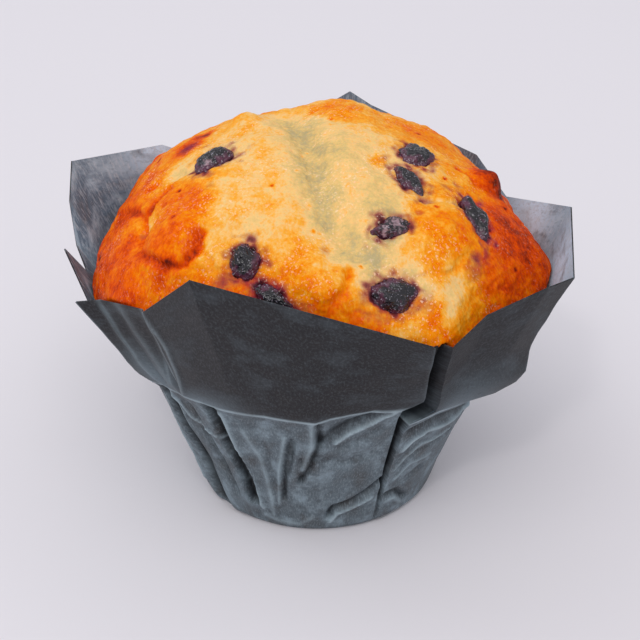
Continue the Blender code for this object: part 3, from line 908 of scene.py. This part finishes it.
class Crust:
    """The relief, browning and juice of the crust in every direction from its centre."""

    def __init__(self, grain):
        # Without a seed of its own, noise_vector is another one in every run
        noise.seed_set(SEED)
        self.grain = grain
        self.waves = ripples()
        self.lobes = spots_on_dome(LOBES)
        self.patches = spots_on_dome(BAKED_PATCHES)
        self.juice = spots_on_dome(JUICE_SPOTS)
        self.torn = spots_on_dome(TORN_PLACES)
        self.split = [direction(azimuth, polar) for azimuth, polar in SPLIT_BENDS]
        self.creases = []
        for width, depth, lift, brown, points in CRUST_CREASES:
            line = [direction(azimuth, polar) for azimuth, polar in points]
            middle = sum(line, Vector()).normalized()
            reach = max(math.degrees(point.angle(middle)) for point in line) + 12
            least = math.cos(math.radians(reach))
            self.creases.append((width, depth, lift, brown, line, middle, least))
        self.berries = [(berry_frame(*row[:2], *row[5:], self), row) for row in BERRIES]
        self.turned_back = [placed.inverted() for placed, row in self.berries]

    def from_split(self, towards):
        return math.degrees(from_line(towards, self.split)[0])

    def main_point(self, towards):
        """The point of the crust in a direction, with the relief that the solid muffin has."""
        relief = sum(height * weight for height, weight in near_spots(towards, self.lobes))
        relief -= SPLIT_DEPTH * bell(self.from_split(towards), SPLIT_WIDTH)
        for wave, phase in self.waves:
            relief += CRUST_RIPPLE * math.sin(towards.dot(wave) + phase) / 2
        return DOME_CENTRE + towards * (dome_distance(towards) + relief)

    def point(self, towards, polar):
        """The point of the crust in a direction, its browning and how stained it is."""
        place = self.main_point(towards)
        patch_spot = wandered(towards, PATCH_WANDER)
        brown = between(BROWNING, polar)
        for target, weight in near_spots(patch_spot, self.patches):
            brown += (target - brown) * weight
        torn = bell(self.from_split(patch_spot), SPLIT_WIDTH)
        brown += (SPLIT_BROWNING - brown) * torn * 0.85
        for open_share, weight in near_spots(patch_spot, self.torn):
            torn = max(torn, open_share * weight)
        relief = 0.0
        crease_spot = wandered(towards, CREASE_WANDER)
        for width, depth, lift, target, line, middle, least in self.creases:
            if towards.dot(middle) < least:
                continue
            chord, (start, end) = from_line(crease_spot, line)
            distance = math.degrees(chord)
            strength = CREASE_STRENGTH + CREASE_UNEVENNESS * noise.noise(place / 4 + TOP * 2)
            on_left = (end - start).cross(crease_spot - start).dot(towards) > 0
            relief -= depth * strength * bell(distance, width)
            if on_left:
                relief += lift * math.exp(-distance / LIP_FALL) * smooth_step(distance / LIP_RISE)
            # Colour along the crease: its browning, and where that is dark, painted shade in the
            # crease
            weight = 0.9 * bell(distance, width * 1.2) * min(max(strength, 0.2), 1.0)
            brown += (target - brown) * weight
        fine, pit = self.fine_relief(place, torn, brown)
        # Pits are browned darker: partly dark specks of crust, partly painted shade in the pit
        brown += 0.8 * pit
        place, stain = self.round_berries(place + towards * (relief + fine))
        for strength, weight in near_spots(crease_spot, self.juice):
            stain = max(stain, strength * weight)
        return place, brown, stain

    def fine_relief(self, place, torn, brown):
        """Swells, thin cracks, torn crumb and pits, in millimetres, and how deep in a pit."""
        relief = self.grain * swells(place, CRUST_SWELLS)
        ragged = noise.turbulence(place / 2.6, 3, True) - 0.5
        relief += self.grain * torn * (1.3 * ragged + 0.3 * noise.noise(place / 0.9))
        cracks = bell(noise.noise(place / 6 + TOP * 5), 0.03) * smooth_step((brown - 0.4) * 4)
        relief -= CRACK_DEPTH * cracks * smooth_step(noise.noise(place / 9) * 5)
        distances, points = noise.voronoi(place / PIT_SPACING)
        open_pit = noise.cell(points[0] * 9.7) > 0.86 - 0.5 * torn
        pit = bell(distances[0], 0.15) if open_pit else 0.0
        return relief - PIT_DEPTH * pit, pit

    def round_berries(self, place):
        """The place with room made for the berries, and how stained it is."""
        stain = 0.0
        for number, (placed, row) in enumerate(self.berries, 1):
            spot = self.turned_back[number - 1] @ (place * MM) / MM
            half_length, half_width, half_thickness = (size / 2 for size in row[2:5])
            if spot.length > half_length * 2.4:
                continue
            wobble = 1 + 0.16 * noise.noise(place / 2.6 + TOP * number)
            wobble += 0.08 * noise.noise(place / 0.9)
            share = wobble * math.hypot(spot.x / half_length, spot.y / half_width)
            # The berry's skin comes up through the crust at this share of its outline
            level = min(abs(spot.z) / half_thickness, 0.9)
            flush = math.sqrt(1 - level * level)
            beyond = max((share - flush) * half_width, 0.0)
            spread = JUICE_SPREAD[0] + JUICE_SPREAD[1] * noise.noise(place / 2.6 + TOP * 3)
            strength = JUICE_STRENGTH[0] + JUICE_STRENGTH[1] * noise.noise(place / 1.6 + TOP * 7)
            stain = max(stain, strength * bell(beyond, max(spread, 0.5)))
            spot.z -= POCKET_DIP * bell(beyond, 1.2)
            if share < flush:
                depth = half_thickness * math.sqrt(1 - share * share)
                under = smooth_step((flush - share) / POCKET_WALL)
                spot.z += (-POCKET_SHARE * depth - spot.z) * under
                stain = max(stain, POCKET_STAIN)
            place = placed @ (spot * MM) / MM
        return place, stain


def wandered(towards, waves):
    """A direction moved a little aside, so that what it is looked up in gets uneven edges."""
    moved = towards.copy()
    for reach, count in waves:
        moved += noise.noise_vector(towards * count) * reach
    return moved.normalized()


def berry_frame(azimuth, polar, turn, sink, crust):
    """Where a berry lies: its length along the crust, its thickness along the crust's normal."""
    towards = direction(azimuth, polar)
    outward = Vector((
        towards.x / DOME_RADIUS**2,
        towards.y / DOME_RADIUS**2,
        towards.z / DOME_RISE**2,
    )).normalized()
    level = TOP.cross(outward).normalized()
    uphill = outward.cross(level)
    along = level * math.cos(math.radians(turn)) + uphill * math.sin(math.radians(turn))
    across = outward.cross(along)
    turned = Matrix((along, across, outward)).transposed().to_4x4()
    return Matrix.Translation((crust.main_point(towards) - outward * sink) * MM) @ turned


def room_in_case(case_tree, place, azimuth, step, reach):
    """The smallest distance from the axis to the paper round a place, or None above it."""
    nearest = None
    for side in (-1, 0, 1):
        for level in (-reach, 0, reach):
            outward = around(azimuth + side * step, 1.0, 0.0)
            start = Vector((0, 0, max(place.z + level, CRUMB_BOTTOM))) * MM
            hit = case_tree.ray_cast(start, outward)
            if hit[0] is not None and (nearest is None or hit[3] / MM < nearest):
                nearest = hit[3] / MM
    return nearest


def crust_mesh(settings, case_tree):
    """The muffin's whole surface, shaped from a ball: the dome, then the flank in the case."""
    crust = Crust(settings.grain / MM)
    ring_count = settings.rings + FLANK_RINGS
    step = 360 / settings.columns
    body = bmesh.new()
    browned = body.verts.layers.float.new("browning")
    stained = body.verts.layers.float.new("juice")
    bmesh.ops.create_uvsphere(body, u_segments=settings.columns, v_segments=ring_count, radius=1.0)
    for vertex in body.verts:
        ring = round(vertex.co.angle(TOP) / math.pi * ring_count)
        azimuth = math.degrees(math.atan2(vertex.co.x, -vertex.co.y))
        stain = 0.0
        if ring <= settings.rings:
            polar = 90 * ring / settings.rings
            towards = direction(azimuth, polar)
            place, brown, stain = crust.point(towards, polar)
        else:
            share = (ring - settings.rings) / FLANK_RINGS
            down = share * FLANK_RUN
            height = DOME_CENTRE_HEIGHT + (CRUMB_BOTTOM - DOME_CENTRE_HEIGHT) * min(down, 1.0)
            inward = 1.0 if down < 1 else max(0.0, (1 - share) / (1 - 1 / FLANK_RUN))
            widest = crust.main_point(direction(azimuth, 90)).xy.length
            tuck = FLANK_TUCK * ((DOME_CENTRE_HEIGHT - height) / DOME_CENTRE_HEIGHT) ** 2
            place = around(azimuth, (widest - tuck) * inward, height)
            brown = 0.8
        radius = place.xy.length
        if radius > BASE_RADIUS / 2:
            in_cup = place.z < CUP_CLEARANCE
            room = room_in_case(case_tree, place, azimuth, step, 1.5 if in_cup else 0.3)
            gap = CRUMB_GAP * (2 if in_cup else 1)
            if room is not None and radius > room - gap:
                place = around(azimuth, room - gap, place.z)
        vertex.co = place * MM
        vertex[browned] = brown
        vertex[stained] = stain
    bmesh.ops.recalc_face_normals(body, faces=body.faces)
    for face in body.faces:
        face.smooth = True
    return body


class MUFFIN_OT_crust(bpy.types.Operator):
    """Bake the cracked dome and the crumb in the case"""

    bl_idname = "muffin.crust"
    bl_label = "Crust"

    def execute(self, context):
        settings = context.scene.muffin_crust
        case = bpy.data.objects.get("folded_case")
        if case is None:
            raise RuntimeError("the paper case comes first")
        case_tree = BVHTree.FromObject(case, context.evaluated_depsgraph_get())
        body = crust_mesh(settings, case_tree)
        finish_piece("baked_muffin", body, (baked_crust(settings),), "muffin")
        return {"FINISHED"}


# Colours of the crust, from torn crumb to a burnt edge, by browning
CRUST_TONES = (
    (0.0, "#b8a577"), (0.15, "#dab874"), (0.28, "#efc27c"), (0.40, "#f2a838"), (0.52, "#ee8b06"),
    (0.66, "#e66200"), (0.78, "#d04200"), (0.90, "#9a2c08"), (1.0, "#54160a"),
)


def baked_crust(settings):
    """Cake crust: an oven browns sugar and flour on what stands highest and leaves torn crumb
    pale. Oil at the surface gives it broken, small highlights, and pale flecks painted into
    its colour stand in for more glints."""
    material, tree, shader = new_material("Baked cake crust, oiled")
    place = add_node(tree, "TexCoord", output="Object")
    brown, juice = (
        add_node(tree, "Attribute", {"attribute_name": layer}, output="Fac")
        for layer in ("browning", "juice")
    )

    # Batter that ran down as it rose leaves streaks 0.6 mm wide and 5 mm long
    scale = (1 / (0.6 * MM), 1 / (0.6 * MM), 1 / (5 * MM))
    downward = add_node(tree, "Mapping", {"Scale": scale}, {"Vector": place})
    patches, mottles, streaks, grains, wet, beads = (
        add_node(
            tree, "TexNoise", {"Scale": scale, "Detail": detail, "Roughness": roughness},
            {"Vector": vector},
        )
        for scale, detail, roughness, vector in (
            (1 / (4 * MM), 3.0, 0.5, place),
            (1 / (1.5 * MM), 5.0, 0.7, place),
            (1.0, 3.0, 0.6, downward),
            (1 / (0.5 * MM), 1.0, 0.5, place),
            (1 / (8 * MM), 2.0, 0.5, place),
            (1 / (0.7 * MM), 2.0, 0.5, place),
        )
    )
    crumbs = add_node(tree, "TexVoronoi", {"Scale": 1 / (0.9 * MM)}, {"Vector": place})

    varied = brown
    for pattern, sway in ((patches, 0.10), (mottles, 0.06), (streaks, 0.07)):
        shift = add_node(
            tree, "MapRange", {"From Min": 0.3, "From Max": 0.7, "To Min": -sway, "To Max": sway},
            {"Value": pattern},
        )
        varied = add_node(tree, "Math", {"operation": "ADD"}, {0: varied, 1: shift})
    stops = [(browning, colour(code)) for browning, code in CRUST_TONES]
    shade = add_node(tree, "ValToRGB", {"stops": stops}, {"Fac": varied})

    # Berry juice is purple where it is thin and near black where it is thick
    ragged = add_node(
        tree, "MapRange", {"From Min": 0.3, "From Max": 0.7, "To Min": -0.1, "To Max": 0.1},
        {"Value": mottles},
    )
    running = add_node(tree, "Math", {"operation": "ADD"}, {0: juice, 1: ragged})
    thin, thick = (
        add_node(
            tree, "MapRange", {"From Min": low, "From Max": high, "To Max": most},
            {"Value": running},
        )
        for low, high, most in ((0.18, 0.8, 0.85), (0.68, 1.1, 0.9))
    )

    # Painted glints: pale flecks stand in for small highlights of the oil, in wet patches and most
    # where the crust is least brown
    glint_flecks = add_node(
        tree, "MapRange", {"From Min": 0.58, "From Max": 0.72, "To Max": 0.5}, {"Value": grains},
    )
    wetness = add_node(
        tree, "MapRange", {"From Min": 0.46, "From Max": 0.60, "To Min": 0.06}, {"Value": wet},
    )
    darkness = add_node(
        tree, "MapRange", {"From Min": 0.45, "From Max": 0.75, "To Min": 1.0, "To Max": 0.3},
        {"Value": brown},
    )
    glint_cover = add_node(tree, "Math", {"operation": "MULTIPLY"}, {0: darkness, 1: wetness})
    sugar = add_node(tree, "Math", {"operation": "MULTIPLY"}, {0: glint_flecks, 1: glint_cover})
    # thin and thick juice are stains; sugar holds the painted glints
    for share, tint in ((thin, "#8f2340"), (thick, "#2c1522"), (sugar, "#ffe0c2")):
        shade = add_node(tree, "MixRGB", {"Color2": colour(tint)}, {"Fac": share, "Color1": shade})

    roughness = add_node(
        tree, "MapRange", {"From Min": 0.35, "From Max": 0.65, "To Min": 0.24, "To Max": 0.62},
        {"Value": mottles},
    )
    rough = add_node(tree, "Math", {"operation": "ADD"}, {0: mottles, 1: crumbs})
    bump = add_node(tree, "Bump", {"Strength": 0.5, "Distance": 0.3 * MM}, {"Height": rough})
    # The oil stands in beads and ridges of about 0.7 mm
    beaded = add_node(tree, "Bump", {"Strength": 0.7, "Distance": 0.25 * MM}, {"Height": beads})
    link_shader(tree, shader, {
        "Base Color": shade, "Roughness": roughness, "Normal": bump, "Coat Normal": beaded,
    })
    shader.inputs["Specular IOR Level"].default_value = 0.0
    shader.inputs["Coat Weight"].default_value = settings.oil
    shader.inputs["Coat Roughness"].default_value = 0.12
    shader.inputs["Coat IOR"].default_value = 1.35
    shader.inputs["Subsurface Weight"].default_value = 0.12
    shader.inputs["Subsurface Radius"].default_value = (1.0, 0.45, 0.15)
    shader.inputs["Subsurface Scale"].default_value = 0.9 * MM
    return material


# The berries


def berry_mesh(row, veils, placed, draw, wrinkle_depth):
    """A shrunken, wrinkled berry lying in its frame."""
    berry = bmesh.new()
    rim = berry.verts.layers.float.new("rim")
    veiled = berry.verts.layers.float.new("veil")
    bmesh.ops.create_icosphere(berry, subdivisions=5, radius=1.0)
    phases = [draw.uniform(0, math.tau) for _ in range(3)]
    halves = Vector(row[2:5]) / 2
    shift = Vector((draw.uniform(-9, 9), draw.uniform(-9, 9), draw.uniform(-9, 9)))
    for vertex in berry.verts:
        spot = vertex.co.copy()
        vertex[rim] = spot.xy.length
        wrinkle = math.sin(3 * spot.x + phases[0]) * math.sin(4 * spot.y + phases[1])
        wrinkle += 0.5 * math.sin(4 * spot.x + 5 * spot.y + phases[2])
        swell = 1 + BERRY_WRINKLE * wrinkle
        place = Vector((spot.x * halves.x, spot.y * halves.y, spot.z * halves.z)) * swell
        place *= 1 + SKIN_SWELL * noise.noise(place / 2.2 + shift)
        distances = noise.voronoi(place / WRINKLE_SPACING + shift)[0]
        creased = 1 - min((distances[1] - distances[0]) / WRINKLE_SHARE, 1.0)
        fine = noise.noise(place / 0.55 + shift)
        place += spot * (wrinkle_depth * (0.25 * fine - creased * creased))
        spots = [
            1 - math.hypot(place.x - x, place.y - y) / radius for number, x, y, radius in veils
        ]
        ragged = 1.2 * noise.noise(place / 0.5 + shift)
        vertex[veiled] = smooth_step((max(spots, default=-1.0) + ragged) * 1.3)
        vertex.co = place * MM
    bmesh.ops.transform(berry, matrix=placed, verts=berry.verts)
    for face in berry.faces:
        face.smooth = True
    return berry


class MUFFIN_OT_berries(bpy.types.Operator):
    """Set the eight baked berries in the crust"""

    bl_idname = "muffin.berries"
    bl_label = "Berries"

    def execute(self, context):
        settings = context.scene.muffin_berries
        crust = Crust(0.0)
        skin = berry_skin(settings)
        for number, (placed, row) in enumerate(crust.berries, 1):
            veils = [veil for veil in BERRY_VEILS if veil[0] == number]
            draw = random.Random(SEED + number)
            berry = berry_mesh(row, veils, placed, draw, settings.wrinkle / MM)
            finish_piece(f"wrinkled_berry_{number}", berry, (skin,), f"berry_{number}")
        return {"FINISHED"}


def berry_skin(settings):
    """Baked berry: its skin has burst and shrunk to a near black, wet membrane, with purple
    where the juice is thin over it."""
    material, tree, shader = new_material("Baked berry skin, wet")
    place = add_node(tree, "TexCoord", output="Object")
    rim, veil = (
        add_node(tree, "Attribute", {"attribute_name": layer}, output="Fac")
        for layer in ("rim", "veil")
    )
    clouds = add_node(tree, "TexNoise", {"Scale": 1 / (1.6 * MM), "Detail": 3.0}, {"Vector": place})
    thinning = add_node(
        tree, "MapRange", {"From Min": 0.45, "From Max": 0.85, "To Min": -0.12, "To Max": 0.16},
        {"Value": rim},
    )
    thin = add_node(tree, "Math", {"operation": "ADD"}, {0: clouds, 1: thinning})
    purple = add_node(
        tree, "MapRange", {"From Min": 0.48, "From Max": 0.7, "To Max": 0.85}, {"Value": thin},
    )
    filmed = add_node(tree, "Math", {"operation": "MULTIPLY", 1: 0.55}, {0: veil})
    # Painted glints: pale specks of 0.4 mm stand in for small highlights on the wet skin
    grain = add_node(tree, "TexNoise", {"Scale": 1 / (0.4 * MM), "Detail": 1.0}, {"Vector": place})
    specked = add_node(
        tree, "MapRange", {"From Min": 0.62, "From Max": 0.72, "To Max": 0.6}, {"Value": grain},
    )
    shade = add_node(
        tree, "MixRGB", {"Color1": settings.skin, "Color2": colour("#5c2b43")}, {"Fac": purple},
    )
    # the veil is burst flesh; the specks are painted glints
    for share, tint in ((filmed, "#c4a0a8"), (specked, "#a8a2b0")):
        shade = add_node(tree, "MixRGB", {"Color2": colour(tint)}, {"Fac": share, "Color1": shade})
    roughness = add_node(tree, "MapRange", {"To Min": 0.05, "To Max": 0.3}, {"Value": grain})
    bump = add_node(tree, "Bump", {"Strength": 0.8, "Distance": 0.2 * MM}, {"Height": grain})
    link_shader(tree, shader, {"Base Color": shade, "Roughness": roughness, "Normal": bump})
    return material


# The stage


# Strength of the studio's pale walls, then where the camera looks and through what lens, in mm
DAYLIGHT = 0.81
CAMERA_TARGET = Vector((0.67, 0.0, 36.49))
SENSOR_WIDTH = 36
LENS = 106.9


def soft_light(name, place, size, power, tint):
    """A square studio light that faces the muffin."""
    lamp = bpy.data.lights.new(name, "AREA")
    lamp.size = size
    lamp.energy = power
    lamp.color = tint
    holder = bpy.data.objects.new(name, lamp)
    holder.location = place
    holder.rotation_euler = (TOP * 0.04 - Vector(place)).to_track_quat("-Z", "Y").to_euler()
    bpy.context.scene.collection.objects.link(holder)


class MUFFIN_OT_stage(bpy.types.Operator):
    """Set up the pale floor, the soft light and the camera"""

    bl_idname = "muffin.stage"
    bl_label = "Stage"

    def execute(self, context):
        settings = context.scene.muffin_stage
        scene = context.scene
        ground = bmesh.new()
        bmesh.ops.create_circle(ground, cap_ends=True, segments=96, radius=4.0)
        mesh = bpy.data.meshes.new("floor")
        ground.to_mesh(mesh)
        ground.free()
        material, _, shader = new_material("Matt board")
        shader.inputs["Base Color"].default_value = settings.floor
        shader.inputs["Roughness"].default_value = 0.9
        mesh.materials.append(material)
        floor = bpy.data.objects.new("floor", mesh)
        scene.collection.objects.link(floor)

        world = bpy.data.worlds.new("studio")
        world.use_nodes = True
        sky = world.node_tree.nodes["Background"]
        sky.inputs["Color"].default_value = colour("#f1f2f8")
        sky.inputs["Strength"].default_value = DAYLIGHT
        scene.world = world
        scene.view_settings.view_transform = "Standard"
        soft_light("key", (-0.12, -0.80, 1.36), 1.2, settings.key, (1.0, 0.99, 0.97))
        soft_light("lamp", (-0.25, -1.0, 1.2), 0.14, 2.2, (1.0, 0.98, 0.97))
        soft_light("window", (-1.6, 0.9, 1.5), 1.0, 5.5, (0.86, 0.94, 1.0))

        back = Vector((0, -math.cos(settings.elevation), math.sin(settings.elevation)))
        lens = bpy.data.cameras.new("camera")
        lens.sensor_width = SENSOR_WIDTH
        lens.lens = LENS
        camera = bpy.data.objects.new("camera", lens)
        camera.location = CAMERA_TARGET * MM + back * settings.distance
        camera.rotation_euler = (-back).to_track_quat("-Z", "Y").to_euler()
        scene.collection.objects.link(camera)
        scene.camera = camera
        return {"FINISHED"}


class MUFFIN_PT_sidebar(bpy.types.Panel):
    bl_label = "Berry muffin"
    bl_idname = "MUFFIN_PT_sidebar"
    bl_space_type = "VIEW_3D"
    bl_region_type = "UI"
    bl_category = "Muffin"

    def draw(self, context):
        for operator, group in (
            (MUFFIN_OT_paper_case, "muffin_paper"),
            (MUFFIN_OT_crust, "muffin_crust"),
            (MUFFIN_OT_berries, "muffin_berries"),
            (MUFFIN_OT_stage, "muffin_stage"),
        ):
            box = self.layout.box()
            settings = getattr(context.scene, group)
            for name in settings.bl_rna.properties.keys():
                if name not in ("name", "rna_type"):
                    box.prop(settings, name)
            box.operator(operator.bl_idname)


CLASSES = (
    MuffinPaper, MuffinCrust, MuffinBerries, MuffinStage,
    MUFFIN_OT_paper_case, MUFFIN_OT_crust, MUFFIN_OT_berries, MUFFIN_OT_stage,
    MUFFIN_PT_sidebar,
)
GROUPS = (
    ("muffin_paper", MuffinPaper),
    ("muffin_crust", MuffinCrust),
    ("muffin_berries", MuffinBerries),
    ("muffin_stage", MuffinStage),
)


def register():
    for cls in CLASSES:
        bpy.utils.register_class(cls)
    for name, group in GROUPS:
        setattr(bpy.types.Scene, name, PointerProperty(type=group))


def unregister():
    for name, group in GROUPS:
        delattr(bpy.types.Scene, name)
    for cls in reversed(CLASSES):
        bpy.utils.unregister_class(cls)


def main():
    register()
    bpy.ops.muffin.paper_case()
    bpy.ops.muffin.crust()
    bpy.ops.muffin.berries()
    bpy.ops.muffin.stage()
    bpy.context.view_layer.update()


if __name__ == "__main__":
    main()
